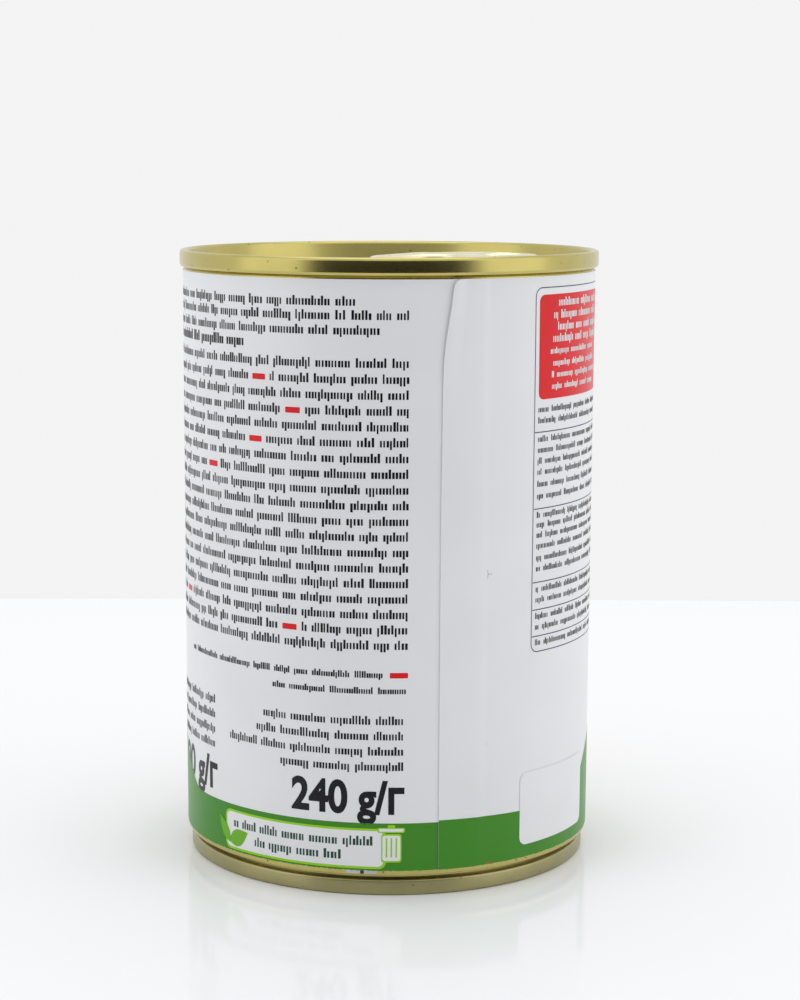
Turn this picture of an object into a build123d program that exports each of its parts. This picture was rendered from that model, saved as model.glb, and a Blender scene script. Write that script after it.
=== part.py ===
from build123d import *
import os
from math import cos, radians, sin

# A steel food tin: a filled body, a riveted easy-open lid, a stepped-in base and a paper wrap.
# Millimetres, +Z up, origin at the centre of the base. The label's overlap shows towards -Y.

# Body
TIN_HEIGHT = 110.0
BODY_RADIUS = 37.1
TOP_NECK = 0.3          # how far the wall closes in under the top seam
TOP_NECK_HEIGHT = 0.4
BASE_NECK = 1.35        # how far the wall closes in above the base seam
BASE_NECK_HEIGHT = 0.85
BASE_NECK_RADIUS = 0.55

# Double seams
SEAM_THICKNESS = 1.25
SEAM_CORNER = 0.5
TOP_SEAM_HEIGHT = 3.0
TOP_SEAM_OVERHANG = 0.7
BASE_SEAM_HEIGHT = 3.1
BASE_SEAM_INSET = 0.65
BASE_SEAM_CORNER = 0.35

# Sunk end panels, depths from the crest of their own seam
CHUCK_TAPER = 0.45
CHANNEL_WIDTH = 1.2
CHANNEL_CORNER = 0.5
LID_CHANNEL_DEPTH = 4.9
LID_RIM_DEPTH = 3.3
LID_RIM_WIDTH = 2.8
LID_PANEL_STEP = 0.3
LID_CAP_DEPTH = 7.0
BASE_CHANNEL_DEPTH = 5.4
BASE_PANEL_DEPTH = 4.4
BASE_CAP_DEPTH = 8.0
PANEL_CORNER = 0.2

# Score line, grooves and ribs pressed into the panels
SCORE_FROM_CHANNEL = 1.2
SCORE_WIDTH = 0.5
SCORE_DEPTH = 0.12
GROOVE_FROM_STEP = 1.6
GROOVE_WIDTH = 1.4
GROOVE_DEPTH = 0.25
RIB_RADIUS = 20.5
RIB_WIDTH = 2.2
RIB_HEIGHT = 0.35
RIB_SWEEP = 190.0
BASE_RING_COUNT = 3
BASE_RING_PITCH = 5.0
BASE_RING_STEP = 0.35

# Ring tab and its rivet
TAB_ANGLE = 35.0        # direction of the nose from +X
TAB_LENGTH = 36.0
TAB_WIDTH = 23.0
TAB_THICKNESS = 1.7
TAB_CROWN = 0.45        # how much thinner the two ends are than the middle
TAB_EDGE = 0.4
NOSE_RADIUS = 7.5
NOSE_REACH = 7.0        # from the rivet's centre to the tip of the nose
RIVET_FROM_SCORE = 7.6
RING_BAND = 3.8
HOLE_LENGTH = 17.5
HOLE_CORNER = 6.93
PAD_HEIGHT = 0.3        # the raised pad that the tab stands on
PAD_RADIUS = 5.0
WEB_RADIUS = 5.4        # the thin web round the rivet
WEB_THICKNESS = 0.6
SLOT_RADIUS = 3.9       # the curved slot in the web, open towards the nose
SLOT_WIDTH = 0.6
SLOT_SWEEP = 240.0
RIVET_RADIUS = 2.3
RIVET_HEAD_RADIUS = 3.2
RIVET_HEAD_HEIGHT = 0.55
RIVET_CLEARANCE = 0.05
WELL_RADIUS = 8.5       # the dished place under the ring's end
WELL_DEPTH = 0.6

# Paper label
PAPER = 0.15
LABEL_BOTTOM = 4.66
LABEL_TOP_GAP = 0.6     # from the label's top edge to the top seam
OVERLAP_START = 15.0    # degrees from -Y towards +X, where the outer end of the paper shows
OVERLAP_SWEEP = 11.0

# Worked out from the sizes above
TOP_SEAM_RADIUS = BODY_RADIUS + TOP_SEAM_OVERHANG
BASE_SEAM_RADIUS = BODY_RADIUS - BASE_SEAM_INSET
LID_PLUG_RADIUS = TOP_SEAM_RADIUS - SEAM_THICKNESS
BASE_PLUG_RADIUS = BASE_SEAM_RADIUS - SEAM_THICKNESS
TOP_SEAM_FOOT = TIN_HEIGHT - TOP_SEAM_HEIGHT
LID_CAP_FOOT = TIN_HEIGHT - LID_CAP_DEPTH
LID_CHANNEL_OUT = LID_PLUG_RADIUS - CHUCK_TAPER
LID_CHANNEL_IN = LID_CHANNEL_OUT - CHANNEL_WIDTH
LID_RIM_Z = TIN_HEIGHT - LID_RIM_DEPTH
LID_PANEL_Z = LID_RIM_Z - LID_PANEL_STEP
LID_PANEL_RADIUS = LID_CHANNEL_IN - LID_RIM_WIDTH
BASE_CHANNEL_OUT = BASE_PLUG_RADIUS - CHUCK_TAPER
BASE_CHANNEL_IN = BASE_CHANNEL_OUT - CHANNEL_WIDTH
SCORE_RADIUS = LID_CHANNEL_IN - SCORE_FROM_CHANNEL
RIVET_FROM_AXIS = SCORE_RADIUS - RIVET_FROM_SCORE
TAB_FOOT = LID_PANEL_Z + PAD_HEIGHT
RING_RADIUS = TAB_WIDTH / 2
RING_CENTRE = TAB_LENGTH - NOSE_REACH - RING_RADIUS
LABEL_TOP = TOP_SEAM_FOOT - LABEL_TOP_GAP


def turned(outline, sweep=360.0):
    """Turn a closed outline about Z. Each corner is (radius, height, corner rounding)."""
    points = [(r, 0, z) for r, z, _ in outline]
    edge = FilletPolyline(*points, radius=[c for _, _, c in outline], close=True)
    return revolve(make_face(edge), Axis.Z, revolution_arc=sweep)


def ring(inner, outer, low, high, sweep=360.0):
    """A plain ring, or an arc of one that starts at +X."""
    return turned([(inner, low, 0), (outer, low, 0), (outer, high, 0), (inner, high, 0)], sweep)


def disc(radius, low, high):
    """An upright cylinder between two heights."""
    return Pos(0, 0, low) * Cylinder(radius, high - low, align=(Align.CENTER, Align.CENTER, Align.MIN))


def at_rivet(shape):
    """Carry a shape from the tab's own axes (rivet at the origin, ring towards +X) to the lid."""
    place = Rot(0, 0, TAB_ANGLE) * Pos(RIVET_FROM_AXIS, 0, 0) * Rot(0, 0, 180)
    return place * shape


def can_body():
    """The filled body: a solid core with a pocket for each end and a neck by each seam."""
    wall_foot = BASE_SEAM_HEIGHT + BASE_NECK_HEIGHT
    wall_top = TOP_SEAM_FOOT - TOP_NECK_HEIGHT
    return turned([
        (0, BASE_CAP_DEPTH, 0),
        (BASE_PLUG_RADIUS, BASE_CAP_DEPTH, 0),
        (BASE_PLUG_RADIUS, BASE_SEAM_HEIGHT, 0),
        (BODY_RADIUS - BASE_NECK, BASE_SEAM_HEIGHT, 0),
        (BODY_RADIUS, wall_foot, BASE_NECK_RADIUS),
        (BODY_RADIUS, wall_top, 0),
        (BODY_RADIUS - TOP_NECK, TOP_SEAM_FOOT, 0),
        (LID_PLUG_RADIUS, TOP_SEAM_FOOT, 0),
        (LID_PLUG_RADIUS, LID_CAP_FOOT, 0),
        (0, LID_CAP_FOOT, 0),
    ])


def lid_blank():
    """The lid before its rivet: top seam, sunk channel, rim with score line, lower panel and groove."""
    channel_z = TIN_HEIGHT - LID_CHANNEL_DEPTH
    groove_out = LID_PANEL_RADIUS - GROOVE_FROM_STEP
    blank = turned([
        (0, LID_CAP_FOOT, 0),
        (LID_PLUG_RADIUS, LID_CAP_FOOT, 0),
        (LID_PLUG_RADIUS, TOP_SEAM_FOOT, 0),
        (TOP_SEAM_RADIUS, TOP_SEAM_FOOT, SEAM_CORNER),
        (TOP_SEAM_RADIUS, TIN_HEIGHT, SEAM_CORNER),
        (LID_PLUG_RADIUS, TIN_HEIGHT, SEAM_CORNER),
        (LID_CHANNEL_OUT, channel_z, CHANNEL_CORNER),
        (LID_CHANNEL_IN, channel_z, CHANNEL_CORNER),
        (LID_CHANNEL_IN, LID_RIM_Z, PANEL_CORNER),
        (LID_PANEL_RADIUS, LID_RIM_Z, 0),
        (LID_PANEL_RADIUS - LID_PANEL_STEP, LID_PANEL_Z, 0),
        (0, LID_PANEL_Z, 0),
    ])
    score = ring(SCORE_RADIUS - SCORE_WIDTH / 2, SCORE_RADIUS + SCORE_WIDTH / 2,
                 LID_RIM_Z - SCORE_DEPTH, TIN_HEIGHT)
    groove = turned([
        (groove_out, LID_PANEL_Z, 0),
        (groove_out, LID_RIM_Z, 0),
        (groove_out - GROOVE_WIDTH, LID_RIM_Z, 0),
        (groove_out - GROOVE_WIDTH, LID_PANEL_Z, 0),
        (groove_out - GROOVE_WIDTH + GROOVE_DEPTH, LID_PANEL_Z - GROOVE_DEPTH, 0),
        (groove_out - GROOVE_DEPTH, LID_PANEL_Z - GROOVE_DEPTH, 0),
    ])
    return blank - score - groove


def lid_rib():
    """A raised stiffening rib, an arc on the side of the panel away from the tab."""
    rib = turned([
        (RIB_RADIUS - RIB_WIDTH / 2, LID_PANEL_Z, 0),
        (RIB_RADIUS + RIB_WIDTH / 2, LID_PANEL_Z, 0),
        (RIB_RADIUS + RIB_WIDTH / 2 - RIB_HEIGHT, LID_PANEL_Z + RIB_HEIGHT, 0),
        (RIB_RADIUS - RIB_WIDTH / 2 + RIB_HEIGHT, LID_PANEL_Z + RIB_HEIGHT, 0),
    ], RIB_SWEEP)
    return Rot(0, 0, TAB_ANGLE + 180 - RIB_SWEEP / 2) * rib


def lid_end():
    """The easy-open end with its rib, finger well, pad and rivet."""
    ball = (WELL_RADIUS ** 2 + WELL_DEPTH ** 2) / (2 * WELL_DEPTH)
    well = Pos(RING_CENTRE, 0, LID_PANEL_Z - WELL_DEPTH + ball) * Sphere(ball)
    well &= disc(TIN_HEIGHT, LID_PANEL_Z - 2 * WELL_DEPTH, LID_RIM_Z)
    web_top = TAB_FOOT + WEB_THICKNESS
    rivet = disc(PAD_RADIUS, LID_PANEL_Z, TAB_FOOT)
    rivet += disc(RIVET_RADIUS, LID_PANEL_Z, web_top + RIVET_HEAD_HEIGHT)
    rivet += disc(RIVET_HEAD_RADIUS, web_top, web_top + RIVET_HEAD_HEIGHT)
    return lid_blank() - at_rivet(well) + lid_rib() + at_rivet(rivet)


def base_end():
    """The plain end: base seam that the tin stands on, sunk channel and stepped rings."""
    outline = [
        (0, BASE_CAP_DEPTH, 0),
        (BASE_PLUG_RADIUS, BASE_CAP_DEPTH, 0),
        (BASE_PLUG_RADIUS, BASE_SEAM_HEIGHT, 0),
        (BASE_SEAM_RADIUS, BASE_SEAM_HEIGHT, SEAM_CORNER),
        (BASE_SEAM_RADIUS, 0, BASE_SEAM_CORNER),
        (BASE_PLUG_RADIUS, 0, BASE_SEAM_CORNER),
        (BASE_CHANNEL_OUT, BASE_CHANNEL_DEPTH, CHANNEL_CORNER),
        (BASE_CHANNEL_IN, BASE_CHANNEL_DEPTH, CHANNEL_CORNER),
        (BASE_CHANNEL_IN, BASE_PANEL_DEPTH, PANEL_CORNER),
    ]
    for number in range(1, BASE_RING_COUNT + 1):
        radius = BASE_CHANNEL_IN - number * BASE_RING_PITCH
        low = BASE_PANEL_DEPTH + (number - 1) * BASE_RING_STEP
        outline += [(radius, low, 0), (radius - BASE_RING_STEP, low + BASE_RING_STEP, 0)]
    outline.append((0, BASE_PANEL_DEPTH + BASE_RING_COUNT * BASE_RING_STEP, 0))
    return turned(outline)


def tab_blank():
    """The tab's outline, a hull of its ring and nose, under a gentle crown along its length."""
    ring_edge = Pos(RING_CENTRE, 0) * Edge.make_circle(RING_RADIUS)
    nose_edge = Pos(NOSE_RADIUS - NOSE_REACH, 0) * Edge.make_circle(NOSE_RADIUS)
    blank = Pos(0, 0, TAB_FOOT) * extrude(make_hull([ring_edge, nose_edge]), TAB_THICKNESS)
    half = TAB_LENGTH / 2
    bend = (half ** 2 + TAB_CROWN ** 2) / (2 * TAB_CROWN)
    middle = half - NOSE_REACH
    crown = Cylinder(bend, 2 * TAB_WIDTH, rotation=(90, 0, 0))
    blank &= Pos(middle, 0, TAB_FOOT + TAB_THICKNESS - bend) * crown
    top = blank.faces().sort_by(Axis.Z)[-1]
    return fillet(top.edges(), TAB_EDGE)


def pull_tab():
    """The ring tab: finger hole, thin web round the rivet, and the slot that lets the web bend."""
    web_top = TAB_FOOT + WEB_THICKNESS
    high = TAB_FOOT + 2 * TAB_THICKNESS
    hole_width = TAB_WIDTH - 2 * RING_BAND
    hole_end = TAB_LENGTH - NOSE_REACH - RING_BAND
    hole = Pos(hole_end - HOLE_LENGTH / 2, 0, TAB_FOOT - 1) * extrude(
        RectangleRounded(HOLE_LENGTH, hole_width, HOLE_CORNER), 3 * TAB_THICKNESS)
    pocket = disc(WEB_RADIUS, web_top, high)
    bore = disc(RIVET_RADIUS + RIVET_CLEARANCE, TAB_FOOT - 1, high)
    slot = ring(SLOT_RADIUS, SLOT_RADIUS + SLOT_WIDTH, TAB_FOOT - 1, high, SLOT_SWEEP)
    slot = Rot(0, 0, -SLOT_SWEEP / 2) * slot
    return at_rivet(tab_blank() - hole - pocket - bore - slot)


def label():
    """The paper wrap, one thickness all round and two where its outer end laps over."""
    outer = BODY_RADIUS + PAPER
    wrap = ring(BODY_RADIUS, outer, LABEL_BOTTOM, LABEL_TOP)
    lap = ring(outer, outer + PAPER, LABEL_BOTTOM, LABEL_TOP, OVERLAP_SWEEP)
    return wrap + Rot(0, 0, OVERLAP_START - 90) * lap


def main():
    os.makedirs("parts", exist_ok=True)
    for make in (can_body, lid_end, base_end, pull_tab, label):
        export_step(make(), f"parts/{make.__name__}.step")


main()
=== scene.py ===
from math import radians
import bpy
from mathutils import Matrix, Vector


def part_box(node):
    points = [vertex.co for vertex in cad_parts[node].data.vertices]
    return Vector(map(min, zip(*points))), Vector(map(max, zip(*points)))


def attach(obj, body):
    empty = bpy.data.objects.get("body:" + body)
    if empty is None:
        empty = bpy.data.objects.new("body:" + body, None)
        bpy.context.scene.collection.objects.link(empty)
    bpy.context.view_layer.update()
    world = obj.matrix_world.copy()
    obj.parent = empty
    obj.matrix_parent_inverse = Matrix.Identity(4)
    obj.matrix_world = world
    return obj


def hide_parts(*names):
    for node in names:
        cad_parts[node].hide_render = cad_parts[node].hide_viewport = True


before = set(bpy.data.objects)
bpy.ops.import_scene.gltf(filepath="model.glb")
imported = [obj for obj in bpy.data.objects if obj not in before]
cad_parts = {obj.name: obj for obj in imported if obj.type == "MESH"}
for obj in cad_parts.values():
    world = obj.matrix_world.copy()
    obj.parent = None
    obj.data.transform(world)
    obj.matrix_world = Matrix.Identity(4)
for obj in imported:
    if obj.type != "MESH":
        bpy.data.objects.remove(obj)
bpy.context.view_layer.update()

from types import SimpleNamespace

import bpy
import bmesh
import numpy as np
from mathutils import Matrix, Vector

bl_info = {
    "name": "Food Tin",
    "version": (1, 0, 0),
    "blender": (4, 5, 0),
    "location": "View3D > Sidebar > Food Tin",
    "description": "Looks of a steel food tin with a ring-pull lid and a printed paper wrap",
    "category": "Object",
}

# Sizes are worked in millimetres and become metres when a mesh is made.
# Angles round the tin are in degrees from -Y towards +X.
MM = 0.001
BODY = "root"


def radius_and_heights(node):
    """The largest radius and the lowest and highest height of a CAD node, in millimetres."""
    low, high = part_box(node)
    return high.x / MM, low.z / MM, high.z / MM


WALL_R, WALL_LOW, WALL_HIGH = radius_and_heights("can_body")
LID_R, LID_LOW, LID_HIGH = radius_and_heights("lid_end")
BASE_R, _, BASE_HIGH = radius_and_heights("base_end")
_, LABEL_LOW, LABEL_HIGH = radius_and_heights("label")
_, TAB_FOOT, _ = radius_and_heights("pull_tab")
DEGREES_PER_MM = 180 / np.pi / WALL_R

# Ends
CHUCK_DRAFT = 0.45          # how far the sunk wall leans in
CHANNEL_WIDTH = 1.2
BASE_CHANNEL_DEPTH = 5.4
BASE_RINGS, BASE_RING_PITCH, BASE_RING_STEP = 3, 5.0, 0.35
BASE_SEAM_DROP = 0.30       # open gap between the base seam and the wall's neck
NECK_DEPTH, NECK_SHELF, NECK_TOP = 1.7, 0.45, 0.72
END_WAVE = {"lid": 0.00012, "base": 0.00015}
# Lid ridges: distance in from the rim, width, height, for the score, its bead and the groove.
LID_RIDGES = ((1.2, 0.5, -0.12), (2.1, 0.9, 0.10), (5.3, 1.6, -0.28))
RIB_RADIUS, RIB_WIDTH, RIB_HEIGHT, RIB_REACH = 20.5, 2.6, 0.35, (82, 95)
WELL_DEPTH, PAD_HEIGHT = 0.6, 0.3

# Ring tab, along its own length from the rivet towards the ring
TAB_LIFT, TAB_HEIGHT = 0.40, 1.25
TAB_HEM = 0.62
NOSE_CENTRE, NOSE_RADIUS = 0.5, 7.5
HOLE_HALF_LENGTH, HOLE_POWER, HOLE_SHIFT = 8.4, 3.2, 0.4
TAB_CROWN, TAB_TILT = 0.45, 0.012
WEB_EDGE, WEB_HEIGHT, SLOT_RADIUS, SLOT_DEPTH = (4.6, 5.6), 0.55, 4.2, 0.4

# Paper
SHEET_CORNER = 1.6          # the free end's rounded top corner
ON_WALL = 0.13              # outer face of one thickness above the wall

# Height of each print above the paper, so that one lies clearly over another
INK = 0.02
BADGE_EDGE_INK, BADGE_INK = 0.04, 0.055
OVER_RED_INK = 0.05
OVER_BAND_INK = 0.07
SIGN_EDGE_INK, SIGN_INK, SIGN_RIB_INK = 0.075, 0.085, 0.095
LEAF_INK = 0.09

# Printed rows on the left part of the label
ROWS_LEFT, ROWS_RIGHT = -84.0, 5.1
ROW_HEIGHTS = [102.56, 100.24, 97.76] + [92.27 - 2.667 * n for n in range(19)]
ROW_ENDS = {0: -8.8, 2: -2.6}
ROW_TAGS = {4: -39.0, 6: -28.4, 8: -40.2, 10: -57.8, 19: -75.6, 20: -29.5}
TAG_WIDTH = 4.3
CAPTION_STARTS = (-35.8, -38.2, -48.5, -30.3)
CAPTION_TOP, CAPTION_PITCH = 31.1, 2.7

# Printed panel on the right part of the label
FRAME = (41.6, 86.0, 41.2, 104.6)
FRAME_LINE = 0.18
RED_PANEL = (43.2, 84.0, 85.4, 103.3)
RED_PANEL_ROWS = (101.75, 99.65, 97.6, 95.6, 93.5, 91.4, 89.4, 87.4)
TABLE_RULES = (79.8, 66.5, 53.6, 48.75, 44.05)
TABLE_ROWS = (83.6, 81.7, 78.5, 76.6, 74.7, 72.8, 70.7, 68.6, 65.3, 63.6, 61.8, 59.9, 57.8, 55.9,
              52.3, 50.4, 47.5, 45.6, 42.8)

# Weights
FIGURES_HEIGHT, FIGURES_WIDTH, FIGURES_FOOT = 5.75, 20.1, 14.95
DIGIT_HEIGHT = 0.72         # of a digit in the built-in font at size 1

# Stage, in metres, and the viewing angle in degrees
FLOOR_HALF_WIDTH, FLOOR_HALF_DEPTH, FLOOR_BACK = 1.1, 0.27, -0.03
CARD_Y, CARD_HALF_WIDTH, CARD_FOOT, CARD_TOP = -0.52, 0.65, -0.30, 0.34
VIEW_PLACE = (-0.0039, -0.4329, 0.1275)
VIEW_DOWN, VIEW_ROLL, VIEW_TURN = 9.79, -0.087, 0.419
VIEW_LENS, VIEW_SENSOR, VIEW_SHIFT = 85.5, 36.0, (0.05, 0.06)


# ---------------------------------------------------------------- settings

def linear(code):
    """An sRGB hex code as linear red, green, blue and alpha."""
    c = np.array([int(code[i:i + 2], 16) for i in (1, 3, 5)]) / 255
    c = np.where(c <= 0.04045, c / 12.92, ((c + 0.055) / 1.055) ** 2.4)
    return (*c, 1.0)


def length(name, mm, about):
    """A length that a user can change, given here in millimetres."""
    return bpy.props.FloatProperty(name=name, default=mm * MM, description=about,
                                   subtype="DISTANCE", unit="LENGTH")


def turn(name, degrees, about):
    """An angle that a user can change, given here in degrees."""
    return bpy.props.FloatProperty(name=name, default=radians(degrees), description=about,
                                   subtype="ANGLE", unit="ROTATION")


def colour(name, code, about):
    """A colour that a user can change, given here as an sRGB hex code."""
    return bpy.props.FloatVectorProperty(name=name, default=linear(code), description=about,
                                         size=4, min=0.0, max=1.0, subtype="COLOR")


def level(name, value, about, unit="NONE"):
    """A strength that a user can change."""
    return bpy.props.FloatProperty(name=name, default=value, description=about, unit=unit)


class TinSizes(bpy.types.PropertyGroup):
    """Sizes of the ends, the tab and the paper."""
    seam_thickness: length("Seam thickness", 1.25, "Double seam from outside to inside")
    channel_depth: length("Channel depth", 4.9, "Depth of the lid's sunk channel")
    rim_depth: length("Panel rim depth", 3.3, "Depth of the scored rim below the crest")
    panel_step: length("Panel step", 0.3, "Drop from the scored rim to the panel")
    base_panel_depth: length("Base panel depth", 4.4, "Depth of the base panel")
    tab_angle: turn("Tab angle", 35.0, "Direction of the tab's nose from +X")
    tab_length: length("Tab length", 36.0, "Length of the ring tab")
    tab_width: length("Tab width", 23.0, "Width across the ring")
    rivet_out: length("Rivet from axis", 26.1, "Distance of the rivet from the tin's axis")
    nose_reach: length("Nose reach", 7.0, "From the rivet to the tip of the nose")
    ring_band: length("Ring band", 3.8, "Width of the metal round the finger hole")
    paper: length("Paper", 0.13, "Thickness of the label paper")
    lap_edge: turn("Lap edge", 13.4, "Where the label's outer end shows, from -Y")
    lap_width: turn("Lap width", 11.0, "Overlap of the label's two ends")
    band_height: length("Band height", 13.15, "Height of the green band's top edge")


class TinColours(bpy.types.PropertyGroup):
    """Colours of the metal, the paper and the printing inks."""
    lacquer: colour("Lacquer", "#BCB068", "Gold lacquer on the lid and wall")
    base_metal: colour("Base metal", "#A59E70", "Duller lacquer on the base")
    bare_tin: colour("Bare tin", "#C4C6CC", "Unlacquered stripe along the weld")
    weld: colour("Weld", "#4A4238", "Burnt line of the weld itself")
    tab_metal: colour("Tab metal", "#E6E0BC", "Pale bright lacquer on the tab")
    paper: colour("Paper", "#EDEEF0", "Coated white paper")
    green: colour("Green ink", "#3F8A1E", "Band round the foot of the label")
    deep_green: colour("Deep green ink", "#1F4A3A", "Rows in the badge")
    lime: colour("Lime ink", "#9AD41E", "Outline of the white badge")
    leaf: colour("Leaf ink", "#6DB51C", "Leaves")
    red: colour("Red ink", "#E0141E", "Panel and short tags")
    dark: colour("Dark ink", "#0E0C18", "Figures and rows")
    rule: colour("Rule ink", "#4A5070", "Thin frame and rules")
    guide: colour("Guide ink", "#BFC2D2", "Printer's faint guide marks")


class StageLevels(bpy.types.PropertyGroup):
    """Strengths and colours of the studio."""
    backdrop: level("Backdrop", 0.90, "World brightness")
    side_lamp: level("Side lamps", 0.40, "Power of each side soft box", "POWER")
    top_lamp: level("Top lamp", 1.25, "Power of the top soft box", "POWER")
    floor: colour("Floor", "#F4F5F7", "White acrylic floor")
    card: colour("Card", "#202020", "Dark card in front")


def worked(group):
    """A group's lengths in millimetres and its angles in degrees, as plain numbers."""
    factor = {"LENGTH": 1 / MM, "ROTATION": 180 / np.pi}
    return SimpleNamespace(**{p.identifier: getattr(group, p.identifier) * factor[p.unit]
                              for p in group.bl_rna.properties if p.unit in factor})


# ---------------------------------------------------------------- mesh helpers

def make_piece(name, points, faces, material, slot, sharp=35.0, replaces=()):
    """Put points in millimetres and their faces in a new object, merge doubles and mark sharp edges."""
    mesh = bpy.data.meshes.new(name)
    mesh.from_pydata((np.asarray(points, float).reshape(-1, 3) * MM).tolist(), [], faces)
    work = bmesh.new()
    work.from_mesh(mesh)
    bmesh.ops.remove_doubles(work, verts=work.verts, dist=1e-7)
    work.to_mesh(mesh)
    work.free()
    mesh.shade_smooth()
    mesh.set_sharp_from_angle(angle=radians(sharp))
    mesh.materials.append(material)
    piece = bpy.data.objects.new(name, mesh)
    bpy.context.scene.collection.objects.link(piece)
    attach(piece, BODY)
    if replaces:
        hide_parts(*replaces)
    return piece


def grid_faces(rows, columns, wrap_rows=False, wrap_columns=False, flip=False):
    """Quads over a grid of points stored row by row. They face along the row direction x the column
    direction, or the other way if flipped."""
    i = np.arange(rows if wrap_rows else rows - 1)
    j = np.arange(columns if wrap_columns else columns - 1)
    i, j = (a.ravel() for a in np.meshgrid(i, j, indexing="ij"))
    i2, j2 = (i + 1) % rows, (j + 1) % columns
    quads = np.stack([i * columns + j, i2 * columns + j, i2 * columns + j2, i * columns + j2], -1)
    return (quads[:, ::-1] if flip else quads).tolist()


def rounded(corners, steps=6):
    """Points along a profile of (radius, height, rounding): each corner is a tangent arc."""
    corners = [np.array(c, float) for c in corners]
    path = [corners[0][:2]]
    for before, here, after in zip(corners, corners[1:], corners[2:]):
        at, rounding = here[:2], here[2]
        u, v = before[:2] - at, after[:2] - at
        u, v = u / np.linalg.norm(u), v / np.linalg.norm(v)
        half = np.arccos(np.clip(u @ v, -1, 1)) / 2
        if rounding == 0 or half > 1.56:
            path.append(at)
            continue
        centre = at + (u + v) / np.linalg.norm(u + v) * rounding / np.sin(half)
        first, last = at + u * rounding / np.tan(half), at + v * rounding / np.tan(half)
        share = np.linspace(0, 1, steps)[:, None]
        arc = (first - centre) * (1 - share) + (last - centre) * share
        path.extend(centre + arc / np.linalg.norm(arc, axis=1)[:, None] * rounding)
    path.append(corners[-1][:2])
    return np.array(path)


def turn_about_axis(profile, steps=360, wave=0.0):
    """Points of a profile (radius, height) carried round Z: (r cos a, r sin a, z). Away from the axis the
    radius has a slight wave, the sum of three sines of the angle."""
    angle = np.arange(steps)[:, None] * 2 * np.pi / steps
    ripple = np.sin(3 * angle + 0.7) + 0.6 * np.sin(7 * angle + 2.1) + 0.3 * np.sin(19 * angle)
    radius, z = profile[:, 0][None, :], profile[:, 1][None, :]
    r = radius * np.where(radius > 1, 1 + wave * ripple, 1)
    return np.stack([r * np.cos(angle), r * np.sin(angle), z + 0 * r], -1)


def turned_piece(name, corners, material, slot, wave=0.0, **more):
    """A closed solid of revolution from a profile that starts and ends on the axis, going up outside."""
    points = turn_about_axis(rounded(corners), wave=wave)
    faces = grid_faces(*points.shape[:2], wrap_rows=True)
    return make_piece(name, points, faces, material, slot, **more)


def smooth(low, high, x):
    """A soft step from 0 at low to 1 at high: 3t^2 - 2t^3."""
    t = np.clip((x - low) / (high - low), 0, 1)
    return t * t * (3 - 2 * t)


def bump(x, middle, width):
    """A rounded ridge, 1 at the middle and 0 past half its width: cosine squared."""
    t = np.clip(np.abs(x - middle) / (width / 2), 0, 1)
    return np.cos(t * np.pi / 2) ** 2


def corner_cut(corner, from_side):
    """How far an edge pulls in near a rounded corner, at a distance from the side: r - sqrt(r^2 - (r - x)^2)."""
    return corner - np.sqrt(np.maximum(corner ** 2 - np.maximum(corner - from_side, 0) ** 2, 0))


# ---------------------------------------------------------------- materials

def add_node(tree, kind, settings=None, links=None):
    """Add a node, set its properties or input sockets by name, and link other sockets into it."""
    node = tree.nodes.new(kind)
    for key, value in (settings or {}).items():
        if isinstance(key, str) and hasattr(node, key):
            setattr(node, key, value)
        else:
            node.inputs[key].default_value = value
    for key, socket in (links or {}).items():
        tree.links.new(socket, node.inputs[key])
    return node


def new_material(name):
    """An empty node material and the object coordinates in millimetres."""
    material = bpy.data.materials.new(name)
    material.use_nodes = True
    tree = material.node_tree
    tree.nodes.clear()
    place = add_node(tree, "ShaderNodeTexCoord")
    scale = add_node(tree, "ShaderNodeMapping", {"Scale": (1 / MM,) * 3}, {"Vector": place.outputs["Object"]})
    return material, tree, scale.outputs["Vector"]


def close_material(tree, shader):
    """Link the shader to the material's output."""
    add_node(tree, "ShaderNodeOutputMaterial", {}, {"Surface": shader.outputs["BSDF"]})


def around(tree, value, spread, source):
    """A value that wanders by a spread either way with a noise."""
    limits = {"To Min": value - spread, "To Max": value + spread}
    return add_node(tree, "ShaderNodeMapRange", limits, {"Value": source.outputs["Fac"]}).outputs["Result"]


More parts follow.
